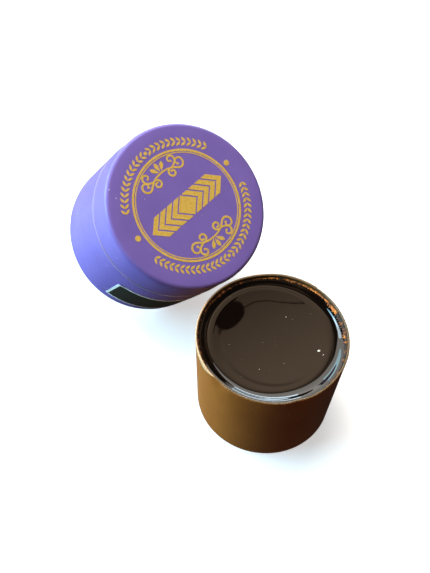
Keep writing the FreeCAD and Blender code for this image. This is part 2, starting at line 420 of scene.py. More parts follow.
def purple_plastic(name, painted_highlight=0.0):
    """Satin moulded plastic: faint mottling, fine moulded grain, dust and hair scratches; the second
    argument lifts the tones towards white, a painted highlight.
    """
    n = Nodes(name)
    mottle = n.noise(0.12, detail=4)
    darker, lighter = (tuple(value + (1 - value) * painted_highlight for value in tone)
                       for tone in ((0.172, 0.110, 0.375), (0.196, 0.127, 0.415)))
    base = n.ramp(mottle, ((0.3, darker), (0.7, lighter)))
    dust = n.sparse_specks(0.32, 0.075, 0.2, 0.56)
    n.colour(n.spotted(dust, base, (0.5, 0.46, 0.62)))
    scratch = n.noise(0.5, detail=2, stretch=(0.05, 1.4, 0.05), distortion=0.4)
    n.roughness(n.noise(0.35, detail=5), 0.34, 0.47)
    grain = n.noise(7.0, detail=2)
    n.bump([(mottle, 0.05), (scratch, 0.01), (grain, 0.0035)])
    return n.material


def gold_foil():
    """Hot-foil print: warm gold with fine pick-up mottling and slightly worn spots."""
    n = Nodes("gold_foil", Metallic=0.35)
    mottle = n.noise(1.6, detail=6, rough=0.7)
    worn = n.specks(0.9, 0.06)
    base = n.ramp(mottle, ((0.3, (0.76, 0.45, 0.07)), (0.52, (0.92, 0.58, 0.11)),
                           (0.75, (1.0, 0.7, 0.17))))
    n.colour(n.spotted(worn, base, (0.35, 0.2, 0.12)))
    n.roughness(mottle, 0.36, 0.55)
    n.bump([(mottle, 0.012)])
    return n.material


def rosin_resin():
    """Poured resin: near-black brown glass with faint clouding and dust on a mirror surface."""
    n = Nodes("rosin_resin", Specular_IOR_Level=0.55, IOR=1.54)
    cloud = n.noise(0.06, detail=3)
    base = n.ramp(cloud, ((0.3, (0.0022, 0.001, 0.0006)), (0.7, (0.004, 0.0018, 0.001))))
    dust = n.specks(0.5, 0.035)
    n.colour(n.spotted(dust, base, (0.3, 0.25, 0.2)))
    n.roughness(n.noise(0.5, detail=4), 0.008, 0.03)
    n.bump([(n.noise(0.09, detail=1), 0.015)])
    return n.material


def amber_film(name, thin_range):
    """Thin rosin that has crept up the cup wall: bright amber where a noise passes this range."""
    n = Nodes(name, Transmission_Weight=0.15, IOR=1.54, Specular_IOR_Level=0.25)
    patch = n.noise(0.9, detail=5, rough=0.65)
    first, last = thin_range
    n.colour(n.ramp(patch, ((first, (0.02, 0.008, 0.003)), ((first + last) / 2, (0.3, 0.085, 0.014)),
                            (last, (0.85, 0.25, 0.035)))))
    n.roughness(patch, 0.45, 0.7)
    n.bump([(n.noise(2.4, detail=3), 0.03)])
    return n.material


def crumb():
    """Loose rosin crumb: pale tones, spread by a noise, paint the light its broken faces catch: a
    painted highlight.
    """
    n = Nodes("rosin_crumb", Roughness=0.35, Transmission_Weight=0.2, IOR=1.54)
    tone = n.noise(2.0, detail=3)
    n.colour(n.ramp(tone, ((0.35, (0.55, 0.42, 0.25)), (0.65, (0.9, 0.82, 0.66)))))
    n.bump([(tone, 0.02)])
    return n.material


def laminate(name, low, high, metallic, rough_low, rough_high):
    """Foil-laminated card: satin sheen, fibre grain that runs round, specks of dust."""
    n = Nodes(name, Metallic=metallic, Sheen_Weight=0.06, Sheen_Roughness=0.25)
    broad = n.noise(0.08, detail=3)
    fibre = n.noise(1.2, detail=4, stretch=(1, 1, 0.35))
    tone = n.math("ADD", n.math("MULTIPLY", broad, 0.6), n.math("MULTIPLY", fibre, 0.4))
    base = n.ramp(tone, ((0.35, low), (0.65, high)))
    dust = n.sparse_specks(0.42, 0.07, 0.25, 0.55)
    n.colour(n.spotted(dust, base, (0.85, 0.72, 0.5)))
    n.roughness(fibre, rough_low, rough_high)
    n.bump([(broad, 0.05), (fibre, 0.012), (n.noise(6.0, detail=2), 0.004)])
    return n.material


def card_fibre(name, low, high, roughness):
    """Bare card of layered fibre."""
    n = Nodes(name, Roughness=roughness)
    layers = n.noise(3.0, detail=4, stretch=(1, 1, 2.5))
    n.colour(n.ramp(layers, ((0.3, low), (0.7, high))))
    n.bump([(layers, 0.02)])
    return n.material


def label_paper():
    """Uncoated label paper with fibres and a little foxing."""
    n = Nodes("label_paper", Roughness=0.85)
    fibre = n.noise(2.5, detail=6, rough=0.7)
    base = n.ramp(fibre, ((0.3, (0.68, 0.66, 0.62)), (0.7, (0.84, 0.83, 0.8))))
    n.colour(n.spotted(n.specks(0.8, 0.05), base, (0.45, 0.38, 0.3)))
    n.bump([(fibre, 0.01)])
    return n.material


def label_ink():
    """Plain dark print that fills the label inside its white margin."""
    n = Nodes("label_ink")
    fibre = n.noise(2.0, detail=5)
    n.colour(n.ramp(fibre, ((0.3, (0.020, 0.019, 0.014)), (0.7, (0.036, 0.033, 0.024)))))
    n.roughness(fibre, 0.4, 0.6)
    n.bump([(fibre, 0.008)])
    return n.material


def dark_shade():
    """Black painted metal."""
    n = Nodes("dark_shade", Roughness=0.9, Specular_IOR_Level=0.0)
    n.colour(n.ramp(n.noise(0.3), ((0.3, (0.002, 0.002, 0.002)), (0.7, (0.005, 0.004, 0.004)))))
    return n.material


def pale_floor():
    """Plain pale paper sweep."""
    n = Nodes("pale_floor", Roughness=0.9, Emission_Color=(1.0, 1.0, 1.0, 1.0),
              Emission_Strength=0.55)
    n.colour(n.ramp(n.noise(0.02), ((0.3, (0.62, 0.62, 0.62)), (0.7, (0.66, 0.66, 0.66)))))
    return n.material


PURPLE = purple_plastic("purple_plastic")
# Paler copy of the plastic for the tub's shoulder arris: a painted highlight along the seam line.
PAINTED_HIGHLIGHT_EDGE = purple_plastic("painted_highlight_edge", 0.32)
GOLD = gold_foil()
RESIN = rosin_resin()
AMBER = amber_film("amber_film", (0.38, 0.6))
DARK_AMBER = amber_film("dark_amber_film", (0.5, 0.72))
CRUMB = crumb()
OUTER_CARD = laminate("outer_laminate", (0.33, 0.09, 0.011), (0.41, 0.122, 0.018), 0.15, 0.34, 0.46)
# The inner lining is far darker than the outer laminate: partly its own tone, partly painted shade
# inside the cup.
SHADED_INNER_CARD = laminate("shaded_inner_laminate", (0.09, 0.042, 0.01), (0.14, 0.07, 0.018), 0.3, 0.28, 0.4)
CARD_EDGE = card_fibre("card_edge", (0.07, 0.035, 0.012), (0.2, 0.12, 0.055), 0.25)
# Pale bare card for the worn stretch by the rim; its paleness is also a painted highlight on the rim's
# lit side.
CARD_CORE_HIGHLIGHT = card_fibre("card_core_highlight", (0.5, 0.26, 0.125), (0.66, 0.36, 0.19), 0.7)
PAPER = label_paper()
LABEL_INK = label_ink()


# ---- places taken from the frame

def node_points(node):
    """The CAD node's points at rest, in millimetres."""
    mesh = frame["nodes"][node].data
    points = np.empty(len(mesh.vertices) * 3)
    mesh.vertices.foreach_get("co", points)
    return points.reshape(-1, 3) / MM


def joint_axis(name):
    """Direction of a joint in the row frame."""
    axes = {joint["name"]: joint["axis"] for joint in frame["record"]["behaviour"]["joints"]}
    return Vector(axes[name]).normalized()


def container_frame():
    """Matrix from the container's own upright frame to its leaning place, its height and radii."""
    up = joint_axis("lid_pull")
    across = Vector((0, 1, 0))
    low_side = across.cross(up).normalized()
    axes = np.array([low_side, across, up])
    tub = node_points("tub") @ axes.T
    lid = node_points("lid") @ axes.T
    middle = (tub.min(axis=0) + tub.max(axis=0)) / 2
    base = Vector((middle[0], middle[1], tub[:, 2].min()))
    origin = low_side * base.x + across * base.y + up * base.z
    matrix = Matrix((low_side, across, up)).transposed().to_4x4()
    matrix.translation = origin * MM
    radii = {
        "foot": tub[np.abs(tub[:, 2] - base.z - FOOT_ROUND) < 0.05][:, 0].max(),
        "skirt": lid[:, 0].max(),
        "seam": tub[:, 0].max(),
        "face": lid[lid[:, 2] > lid[:, 2].max() - 1e-3][:, 0].max() + EDGE_ROUND,
    }
    radii = {place: reach - base.x - FIT_MARGIN for place, reach in radii.items()}
    return matrix, lid[:, 2].max() - base.z - FIT_MARGIN, radii


CONTAINER, HEIGHT, RADII = container_frame()
LEDGE = HEIGHT - SKIRT_LENGTH - SEAM_GAP
CUP_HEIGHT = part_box("cup_wall")[1][2] / MM
CUP_RIM_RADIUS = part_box("cup_wall")[1][0] / MM
CUP_FOOT_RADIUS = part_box("cup_base")[1][0] / MM + CUP_WALL - BASE_FLARE


def cup_outer(height):
    """The cup's outer radius at a height."""
    return CUP_FOOT_RADIUS + (CUP_RIM_RADIUS - CUP_FOOT_RADIUS) * height / CUP_HEIGHT


def lean(piece, within=Matrix()):
    """Put a piece drawn in the container's own frame into its leaning place."""
    piece.data.transform(CONTAINER @ within)
    piece.data.update()
    return piece


# ---- container

def build_lid():
    """Cap: flat face, rounded edge, flared skirt, snap bead and sealing ring inside."""
    skirt_end = HEIGHT - SKIRT_LENGTH
    ceiling = HEIGHT - LID_TOP_THICK
    bore = SKIRT_BORE_RADIUS
    lead_depth, lead_height = LEAD_IN
    bead = skirt_end + SNAP_BEAD_HEIGHT
    ring = SEAL_RING_RADIUS
    ring_root, ring_tip = SEAL_RING_HALF_WIDTHS
    outline = rounded([
        (0, HEIGHT),
        (RADII["face"], HEIGHT, EDGE_ROUND),
        (RADII["skirt"], skirt_end, SKIRT_END_ROUND),
        (bore + lead_depth, skirt_end, SKIRT_END_ROUND),
        (bore, skirt_end + lead_height, 0.2),
        (bore, bead - SNAP_BEAD_HALF_HEIGHT, 0.3),
        (bore - SNAP_BEAD_DEPTH, bead, 0.2),
        (bore, bead + SNAP_BEAD_HALF_HEIGHT, 0.3),
        (bore, ceiling, 0.5),
        (ring + ring_root, ceiling, 0.1),
        (ring + ring_tip, ceiling - SEAL_RING_HEIGHT, 0.15),
        (ring - ring_tip, ceiling - SEAL_RING_HEIGHT, 0.15),
        (ring - ring_root, ceiling, 0.1),
        (0, ceiling),
    ])
    outline = densified(outline, longest=2.5, closed=False)
    lid = lean(turned("lid_shell", outline, [PURPLE]))
    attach(lid, "container_lid")
    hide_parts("lid")


def build_tub():
    """Tub: recessed foot with a moulding gate, drafted wall, stepped neck and plain bore."""
    neck_top = HEIGHT - LID_TOP_THICK - NECK_TOP_CLEARANCE
    recess = RECESS_DEPTH
    border = RECESS_RADIUS - RECESS_BORDER
    gate_tip, gate_root = GATE_RADII
    outline = rounded([
        (0, recess - GATE_HEIGHT),
        (gate_tip, recess - GATE_HEIGHT, 0.2),
        (gate_root, recess, 0.15),
        (border, recess, 0.1),
        (border + 0.3, recess + RECESS_STEP, 0.1),
        (RECESS_RADIUS, recess + RECESS_STEP, 0.2),
        (RECESS_RADIUS + 0.2, 0, 0.25),
        (RADII["foot"], 0, FOOT_ROUND),
        (RADII["seam"], LEDGE, SHOULDER_ROUND),
        (RADII["skirt"] - SHOULDER_INSET, LEDGE),
        (NECK_RADIUS, LEDGE, 0.1),
        (NECK_RADIUS, neck_top, 0.4),
        (BORE_RADIUS, neck_top, 0.4),
        (BORE_RADIUS, FLOOR_THICK, 1.5),
        (0, FLOOR_THICK),
    ])
    outline = densified(outline, longest=2.5, closed=False)
    # Rows of the shoulder arris, which get the paler plastic: a painted highlight along the seam.
    highlight_arris = {k for k, (radius, height) in enumerate(outline)
             if radius > RADII["skirt"] - SHOULDER_INSET / 3 and height > LEDGE - 0.1}
    tub = lean(turned("tub_shell", outline, [PURPLE, PAINTED_HIGHLIGHT_EDGE],
                      material_at=lambda index, angle: int(index in highlight_arris)))
    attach(tub, "container")
    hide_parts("tub")


def build_label():
    """Blank paper label on the tub's wall, one corner slightly lifted."""
    columns, rows = LABEL_GRID
    across = np.radians(np.linspace(*LABEL_ANGLES, columns))
    up = np.linspace(*LABEL_HEIGHTS, rows)
    vertices = []
    for lift in LABEL_FACES:
        for row, height in enumerate(up):
            wall = RADII["foot"] + (RADII["seam"] - RADII["foot"]) * height / LEDGE
            from_corner = np.hypot((across - across[0]) * wall, LABEL_HEIGHTS[1] - height)
            peel = LABEL_PEEL * smooth_step(1 - from_corner / LABEL_PEEL_REACH)
            wrinkle = LABEL_WRINKLE * np.sin(across * 9 + row * 0.2)
            radii = wall + lift + peel + wrinkle
            vertices += around(across, radii, np.full(columns, height))
    sheet = rows * columns
    faces = []
    kinds = []
    side, end = LABEL_MARGIN
    for row in range(rows - 1):
        for column in range(columns - 1):
            first = row * columns + column
            corners = [first, first + 1, first + 1 + columns, first + columns]
            faces += [[sheet + corner for corner in corners], corners[::-1]]
            inked = side <= column < columns - 1 - side and end <= row < rows - 1 - end
            kinds += [int(inked), 0]
    # Vertices of the inner face in their grid, and those on its border, once round
    inner = np.arange(sheet).reshape(rows, columns)
    rim = [*inner[0], *inner[1:, -1], *inner[-1, -2::-1], *inner[-2:0:-1, 0]]
    for here, after in zip(rim, rim[1:] + rim[:1]):
        faces.append([here, after, sheet + after, sheet + here])
        kinds.append(0)
    label = lean(mesh_object("paper_label", vertices, faces, [PAPER, LABEL_INK], kinds))
    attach(label, "container")
    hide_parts("tub_label")


# ---- print on the lid

def polar(radius, degrees):
    """Point of the print at a radius and an angle."""
    angle = math.radians(degrees)
    return np.array([radius * math.cos(angle), radius * math.sin(angle)])


class Film:
    """Collects printed patches as thin closed slabs in one mesh."""

    def __init__(self):
        self.vertices = []
        self.faces = []
        self.patches = 0

    def slab(self, left, right):
        """Slab between two rows of points; overlapping slabs get slightly different tops."""
        sink = PRINT_STAGGER * (self.patches % PRINT_LEVELS)
        self.patches += 1
        count = len(left)
        start = len(self.vertices)
        for height in (0.0, PRINT_THICK - sink):
            self.vertices += [(x, y, height) for x, y in (*left, *right)]
        # First vertex of each row round the section: top left, top right, bottom right, bottom left
        section = [start + row * count for row in (2, 3, 1, 0)]
        for k in range(count - 1):
            for here, after in zip(section, section[1:] + section[:1]):
                self.faces.append((here + k, after + k, after + k + 1, here + k + 1))
        self.faces.append(section[::-1])
        self.faces.append([corner + count - 1 for corner in section])

    def ring(self, inner, outer):
        """Full circle line between two radii."""
        angles = np.linspace(0, 2 * np.pi, RING_STEPS + 1)
        circle = np.stack([np.cos(angles), np.sin(angles)], axis=1)
        self.slab(circle * outer, circle * inner)

    def stroke(self, points, widths):
        """Brush stroke along points, with its own width at each."""
        points = np.asarray(points)
        along = np.gradient(points, axis=0)
        along /= np.linalg.norm(along, axis=1)[:, None] + 1e-9
        normal = np.stack([-along[:, 1], along[:, 0]], axis=1) * np.asarray(widths)[:, None] / 2
        self.slab(points + normal, points - normal)

    def blob(self, centre, radius):
        """Round dot."""
        share = np.linspace(-1, 1, DOT_STEPS + 1)
        half = np.sqrt(np.clip(1 - share ** 2, 0.0004, 1)) * radius
        x = centre[0] + share * radius
        self.slab(np.stack([x, centre[1] + half], 1), np.stack([x, centre[1] - half], 1))

    def leaf(self, root, heading, length, width, belly=0.5):
        """Pointed leaf whose widest place is at a share of its length."""
        share = np.linspace(0.0, 1.0, CURVE_STEPS + 1)
        power = math.log(0.5) / math.log(belly)
        half = np.sin(np.pi * share ** power) * width / 2 + LEAF_TIP_HALF_WIDTH
        ahead = polar(1, heading)
        side = np.array([-ahead[1], ahead[0]])
        middle = np.asarray(root) + ahead * (share * length)[:, None]
        self.slab(middle + side * half[:, None], middle - side * half[:, None])


def scroll(film, start, heading, arcs, ball, mirror, facing):
    """Tapered run of tangent arcs, each (radius, turn in degrees), ending in a ball."""
    place = np.asarray(start, float)
    points = [place]
    for radius, turn in arcs:
        side = math.copysign(90, turn)
        centre = place + polar(radius, heading + side)
        begin = heading - side
        for step in range(1, CURVE_STEPS + 1):
            points.append(centre + polar(radius, begin + turn * step / CURVE_STEPS))
        place = points[-1]
        heading += turn
    flip = np.array([mirror * facing, facing])
    share = np.linspace(0, 1, len(points))
    thin, thick = STROKE_WIDTHS
    film.stroke(np.array(points) * flip, thin + (thick - thin) * np.sin(np.pi * (0.2 + 0.75 * share)))
    film.blob((place + polar(ball * 0.5, heading)) * flip, ball)


def flourish(film, facing):
    """Mirrored scroll ornament with three petals; facing is 1 or -1 for its side of the band."""
    root = np.array([PETAL_ROOT[0], FLOURISH_BASE + PETAL_ROOT[1]])
    film.leaf((0, root[1] * facing), 90 * facing, PETAL_LENGTH, PETAL_WIDTH, PETAL_BELLY)
    for mirror in (1, -1):
        heading = 90 * (2 - facing) - PETAL_FAN * mirror
        place = (root[0] * mirror * facing, root[1] * facing)
        film.leaf(place, heading, PETAL_LENGTH, PETAL_WIDTH, PETAL_BELLY)
        for x, y, angle, arcs, ball in SCROLLS:
            scroll(film, (x, FLOURISH_BASE + y), angle, arcs, ball, mirror, facing)


def wreath(film, side, first, last, pairs):
    """Leaf pairs from both ends of an arc, growing towards its middle, where a dot sits."""
    for index in range(pairs):
        position = first + (last - first) * index / (pairs - 1)
        for start, growth in ((position, 1), (180 - position, -1)):
            heading = side * (start + growth * 90)
            for spread in (LEAF_LEAN, -LEAF_LEAN):
                film.leaf(polar(LEAF_ORBIT, side * start), heading + spread, LEAF_LENGTH, LEAF_WIDTH)
    film.blob(polar(LEAF_ORBIT, side * 90), WREATH_DOT_RADIUS)


def central_band(film):
    """Lozenge between rows of bold chevrons."""
    half = BAND_HEIGHT / 2
    width = LOZENGE_HALF_WIDTH
    blunt = 0.01
    film.slab([(-width, blunt), (0, half), (width, blunt)],
              [(-width, -blunt), (0, -half), (width, -blunt)])
    pitch = (BAND_LENGTH / 2 - width) / CHEVRONS_EACH_SIDE
    thick = pitch - BAND_GAP
    for side in (1, -1):
        for index in range(CHEVRONS_EACH_SIDE):
            tip = side * (width + BAND_GAP + pitch * index)
            arm = tip - side * width
            shift = side * thick
            film.slab([(arm, half), (tip, 0), (arm, -half)],
                      [(arm + shift, half), (tip + shift, 0), (arm + shift, -half)])


def build_print():
    """Everything printed in gold on the lid's face."""
    film = Film()
    for inner, outer in RING_LINES:
        film.ring(inner, outer)
    for angle in DOT_ANGLES:
        film.blob(polar(DOT_ORBIT, angle), DOT_RADIUS)
    for arc in WREATH_ARCS:
        wreath(film, *arc)
    central_band(film)
    flourish(film, 1)
    flourish(film, -1)
    turn = Matrix.Rotation(math.radians(PRINT_TURN), 4, "Z")
    print_piece = lean(mesh_object("gold_print", film.vertices, film.faces, [GOLD], sharp=60),
                       Matrix.Translation((0, 0, HEIGHT * MM)) @ turn)
    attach(print_piece, "container_lid")
    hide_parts("lid_print")


# ---- cup and cake

def cup_warp(angles, radii, heights):
    """Unevenness of the card sleeve: rim dents, a slight wave and the lapped seam."""
    near_rim = smooth_step(heights, CUP_HEIGHT - RIM_REACH, CUP_HEIGHT)
    radii = radii + RIM_WAVE * near_rim * ripple(angles, 3, (2, 3, 5, 7))
    for centre, width, depth in RIM_DENTS:
        away = (np.degrees(angles) - centre + 180) % 360 - 180
        dent = depth * np.exp(-(away / width) ** 2)
        radii = radii - dent * near_rim ** 2
        heights = heights - DENT_DROP * dent * near_rim ** 4
    past_seam = (np.degrees(angles) - CUP_SEAM_ANGLE) % 360
    lap = smooth_step(past_seam / CUP_SEAM_RAMP) * (1 - smooth_step(past_seam, *CUP_SEAM_FADE))
    outside = radii > cup_outer(heights) - CUP_WALL / 2
    radii = radii + CUP_SEAM_STEP * lap * outside
    return radii, heights


def build_cup_wall():
    """Lapped card sleeve with its raw edge showing at the rim and a rolled bead inside."""
    rim = CUP_HEIGHT - FIT_MARGIN
    bead = CUP_HEIGHT - CUP_BEAD_BELOW_RIM
    above, below = bead + CUP_BEAD_HALF_HEIGHT, bead - CUP_BEAD_HALF_HEIGHT
    outline = rounded([
        (CUP_FOOT_RADIUS - CUP_WALL, 0, 0.1),
        (CUP_FOOT_RADIUS, 0, 0.18),
        (CUP_RIM_RADIUS - RIM_INSET, rim, CUP_RIM_ROUND),
        (CUP_RIM_RADIUS - CUP_WALL, rim, CUP_RIM_ROUND),
        (cup_outer(above) - CUP_WALL, above, 0.15),
        (cup_outer(bead) - CUP_WALL - CUP_BEAD_DEPTH, bead, 0.15),
        (cup_outer(below) - CUP_WALL, below, 0.15),
    ])
    outline = densified(outline, longest=0.25, closed=True)
    outside_card, edge_card, shaded_inside_card, worn_highlight_card = range(4)

    def kind(index, angle):
        """Material of a strip of the sleeve at an angle."""
        low, high = outline[index], outline[(index + 1) % len(outline)]
        radius, height = (low[0] + high[0]) / 2, (low[1] + high[1]) / 2
        # Worn stretch: bare card near the rim, partly wear and partly a painted highlight where the rim
        # catches the light.
        first, deepest, last = WORN_HIGHLIGHT_ANGLES
        worn = np.interp(math.degrees(angle), (first, deepest, last), (0, WORN_HIGHLIGHT_DEPTH, 0))
        outside = radius > cup_outer(height) - CUP_WALL / 2
        if min(low[1], high[1]) > CUP_HEIGHT - CUP_RIM_ROUND * 0.6:
            return worn_highlight_card if worn > 0 and outside else edge_card
        if outside and CUP_HEIGHT - height < worn:
            return worn_highlight_card
        return outside_card if outside else shaded_inside_card

    wall = turned("cup_sleeve", outline, [OUTER_CARD, CARD_EDGE, SHADED_INNER_CARD, CARD_CORE_HIGHLIGHT],
                  closed=True, warp=cup_warp, material_at=kind, steps=TURN_STEPS * 2)
    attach(wall, "cup")
    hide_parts("cup_wall")


def build_cup_base():
    """Card plug with a pressed ring, set into the sleeve's foot."""
    wall = CUP_FOOT_RADIUS - CUP_WALL
    hollow_edge, groove_start, groove_end, foot_start = BASE_GROOVE_RADII
    outline = rounded([
        (0, BASE_HOLLOW),
        (hollow_edge, BASE_HOLLOW, 0.2),
        (groove_start, BASE_GROOVE, 0.15),
        (groove_end, BASE_GROOVE, 0.15),
        (foot_start, 0, 0.2),
        (wall - BASE_GAPS[0], 0, 0.15),
        (wall + BASE_FLARE - BASE_GAPS[1], BASE_THICK, 0.1),
        (0, BASE_THICK),
    ])
    base = turned("cup_plug", densified(outline, longest=2.0, closed=False), [OUTER_CARD])
    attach(base, "cup")
    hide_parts("cup_base")


def shore_lift(angles):
    """How much higher or lower the rosin meets the wall at each angle."""
    return SHORE_TILT * np.cos(angles - math.radians(SHORE_HIGH_ANGLE))


def cake_warp(angles, radii, heights):
    """Slow unevenness of the poured surface near the wall."""
    on_top = heights > CUP_HEIGHT - CAKE_TOP_ZONE
    near_wall = smooth_step(radii, *MENISCUS_RADII)
    uneven = MENISCUS_WAVE * ripple(angles, 11, (3, 4, 7, 12, 19))
    shift = FLAT_SHIFT * np.cos(angles - math.radians(FLAT_SHIFT_ANGLE))
    shift = shift + FLAT_WAVE * ripple(angles, 17, (3, 5, 8))
    shift = shift + BACK_SHIFT * smooth_step(np.cos(angles - math.radians(BACK_SHIFT_ANGLE)))
    start, full, end = SHIFT_RADII
    shift = shift * (1 - smooth_step(radii, full, end))
    radii = radii + shift * smooth_step(radii, start, full)
    shelf = SHELF_RISE * smooth_step(1.3 * np.cos(angles - math.radians(SHELF_ANGLE)) - 0.25)
    shelf = shelf * smooth_step(radii, *SHELF_RADII)
    return radii, heights + on_top * (shelf + near_wall * (uneven + shore_lift(angles)))


def cake_surface():
    """Radii and depths below the rim of the poured surface, coarse in its flat middle."""
    knots = np.array(CAKE_PROFILE)
    wall = cup_outer(CUP_HEIGHT - SHORE_DEPTH) - CUP_WALL - CAKE_GAP
    knots = np.vstack([knots, (wall, SHORE_DEPTH)])
    coarse, fine = SURFACE_STEPS
    middle = np.linspace(0, SHIFT_RADII[0], coarse)
    radii = np.concatenate([middle, np.linspace(SHELF_RADII[0], wall, fine)])
    depths = np.interp(radii, knots[:, 0], knots[:, 1])
    smoothed = np.convolve(depths, np.ones(5) / 5, "same")
    depths[7:-2] = smoothed[7:-2]
    return radii, depths


def build_cake():
    """Poured cake: mirror-flat middle, a shallow shelf, and a meniscus up to the wall."""
    surface = [(radius, CUP_HEIGHT - depth) for radius, depth in zip(*cake_surface())]
    low = BASE_THICK + CAKE_LIFT
    inset, rise = CAKE_CHAMFER
    sides = [(cup_outer(height) - CUP_WALL - CAKE_GAP, height)
             for height in np.linspace(CUP_HEIGHT - SHORE_DEPTH - 0.6, low + rise, 12)]
    outline = surface + sides + [(cup_outer(low) - CUP_WALL - inset, low), (0.0, low)]
    cake = turned("rosin_block", outline, [RESIN], warp=cake_warp, steps=3 * TURN_STEPS)
    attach(cake, "cup")
    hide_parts("rosin_cake")


def build_crumbs():
    """A few loose crumbs lying on the poured surface."""
    rng = np.random.default_rng(4)
    count = CRUMB_SIDES
    level = CUP_HEIGHT - CAKE_PROFILE[0][1]
    vertices = []
    faces = []
    for x, y, size in CRUMBS:
        start = len(vertices)
        for layer, (spread, height) in enumerate(CRUMB_LAYERS):
            for k in range(count):
                angle = 2 * math.pi * (k + 0.3 * layer) / count
                reach = size * spread * rng.uniform(0.6, 1.0)
                vertices.append((x + reach * math.cos(angle), y + reach * math.sin(angle),
                                 level + size * height * rng.uniform(0.8, 1.1)))
        middle, top = start + count, start + 2 * count
        faces += ring_faces(start, middle, count) + ring_faces(middle, top, count)
        faces.append(list(range(top, top + count)))
        faces.append(list(reversed(range(start, middle))))
    crumbs = mesh_object("rosin_crumbs", vertices, faces, [CRUMB], sharp=20)
    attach(crumbs, "cup")


def film_teeth(angles, seed):
    """Share, 0 to 1, of its full reach that the crept-up rosin has at each angle: ragged teeth."""
    rng = np.random.default_rng(seed)
    heights = 0.3 + 0.7 * rng.random(FILM_TEETH)
    heights[rng.random(FILM_TEETH) < FILM_MISSING_TEETH] = 0.1
    phase = angles / (2 * np.pi) * FILM_TEETH
    index = np.floor(phase).astype(int) % FILM_TEETH
    across = phase - np.floor(phase)
    tooth = smooth_step(across / 0.25) * smooth_step((0.7 - across) / 0.25)
    patches = smooth_step(0.55 + 1.4 * ripple(angles, seed + 1, (2, 3, 5, 9), 0.6))
    teeth = heights[index] * tooth * (0.3 + 0.7 * patches)
    return np.clip(0.1 + 0.35 * patches + 0.7 * teeth, 0.04, 1.0)


def build_film():
    """Ragged amber rim of the cake, which crept up the wall while it was hot."""
    steps = FILM_TEETH * FILM_TOOTH_STEPS
    angles = np.linspace(0, 2 * np.pi, steps, endpoint=False)
    radii, depths = cake_surface()
    wall = radii[-1] + 0.05
    presence = smooth_step(0.45 + 0.9 * np.cos(angles - math.radians(FILM_RICH_ANGLE)))
    tip = FILM_REACH[1] + (FILM_REACH[0] - FILM_REACH[1]) * presence * film_teeth(angles, 31)
    rise = FILM_RISE[0] + (FILM_RISE[1] - FILM_RISE[0]) * presence * film_teeth(angles, 47)
    relief = 0.5 + 0.5 * ripple(angles, 9, (150, 190, 233, 311), 0.2)

    def on_slope(share, lift):
        """Row of points over the meniscus, a share of the way from the tips to the wall."""
        here = tip + (wall - 0.1 - tip) * share
        return here, CUP_HEIGHT - np.interp(here, radii, depths) + lift

    top = CUP_HEIGHT - SHORE_DEPTH + rise
    full = np.full(steps, wall)
    # From the tips on the meniscus, over it, up the wall, and back down inside the card
    rows = [
        on_slope(0.0, -0.05),
        on_slope(0.12, 0.03 + 0.05 * relief),
        on_slope(0.5, 0.05 + 0.07 * relief),
        on_slope(0.85, 0.09 + 0.05 * relief),
        (full - 0.1 - 0.05 * relief, CUP_HEIGHT - SHORE_DEPTH + rise * 0.35 + 0.1),
        (full - 0.07 - 0.04 * relief, top - 0.04),
        (full - 0.01, top),
        (full + 0.03, top - 0.06),
        (full, np.full(steps, CUP_HEIGHT - SHORE_DEPTH - 0.25)),
    ]
    vertices = []
    for row in rows:
        vertices += around(angles, *cake_warp(angles, *row))
    faces = []
    for row in range(len(rows)):
        low, high = row * steps, (row + 1) % len(rows) * steps
        for k in range(steps):
            after = (k + 1) % steps
            faces.append((low + k, high + k, high + after, low + after))
    rich = np.cos(angles - math.radians(FILM_RICH_ANGLE)) > FILM_RICH_COSINE
    kinds = np.tile(np.where(rich, 0, 1), len(rows))
    film = mesh_object("rosin_film", vertices, faces, [AMBER, DARK_AMBER], kinds, sharp=50)
    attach(film, "cup")


# ---- stage, light and camera

# Directions are (azimuth, elevation) from the aim point in degrees, and distances and sizes are in
# metres. The focal length is in picture heights, and the sensor's height is in millimetres.
AIM = Vector((-0.0255, 0.003, 0.022))
CAMERA_PLACE = (45.2, 54.95)
CAMERA_ROLL = 4.4
CAMERA_DISTANCE = 0.2765
FOCAL_IN_HEIGHTS = 1.7452
SENSOR = 36.0

# Soft lights: name, direction, distance, size, power, colour, and whether reflections show them
SOFTBOXES = (
    ("window", (-82.0, 17.0), 0.75, (0.9, 0.3), 4.0, (0.3, 0.8, 1.0), True),
    ("window_side", (-42.0, 25.0), 0.8, (0.66, 0.38), 12.4, (0.38, 0.76, 1.0), True),
    ("lit_table", (-60.0, -28.0), 0.6, (0.5, 0.3), 6.8, (0.62, 0.94, 1.0), False),
    ("warm_room", (60.0, 22.0), 0.9, (0.6, 0.4), 0.6, (1.0, 0.6, 0.3), False),
    ("window_back", (-141.0, 9.0), 0.8, (0.35, 0.14), 1.6, (0.62, 0.84, 1.0), True),
    ("far_wall", (-120.0, 26.0), 0.85, (1.2, 0.72), 7.2, (1.0, 0.95, 0.88), True),
    ("overhead", (-90.0, 72.0), 1.1, (0.7, 0.7), 16.5, (1.0, 0.98, 0.92), False),
)

# Cards that only reflections show: name, direction, size, colour, and dim and bright glow
GLOW_DISTANCE = 0.9
GLOW_CARDS = (
    ("ceiling", (-141.0, 58.0), (0.4, 0.3), (1.0, 0.71, 0.48), 0.34, 1.3),
    ("window_top", (-66.0, 34.0), (0.36, 0.15), (0.74, 0.89, 1.0), 8.0, 11.0),
    ("ceiling_near", (45.0, 68.0), (0.8, 0.72), (1.0, 0.62, 0.38), 0.2, 0.34),
    ("room_wall", (178.0, 33.0), (0.5, 0.45), (1.0, 0.64, 0.4), 0.22, 0.36),
)
GLOW_SPAN = 0.34

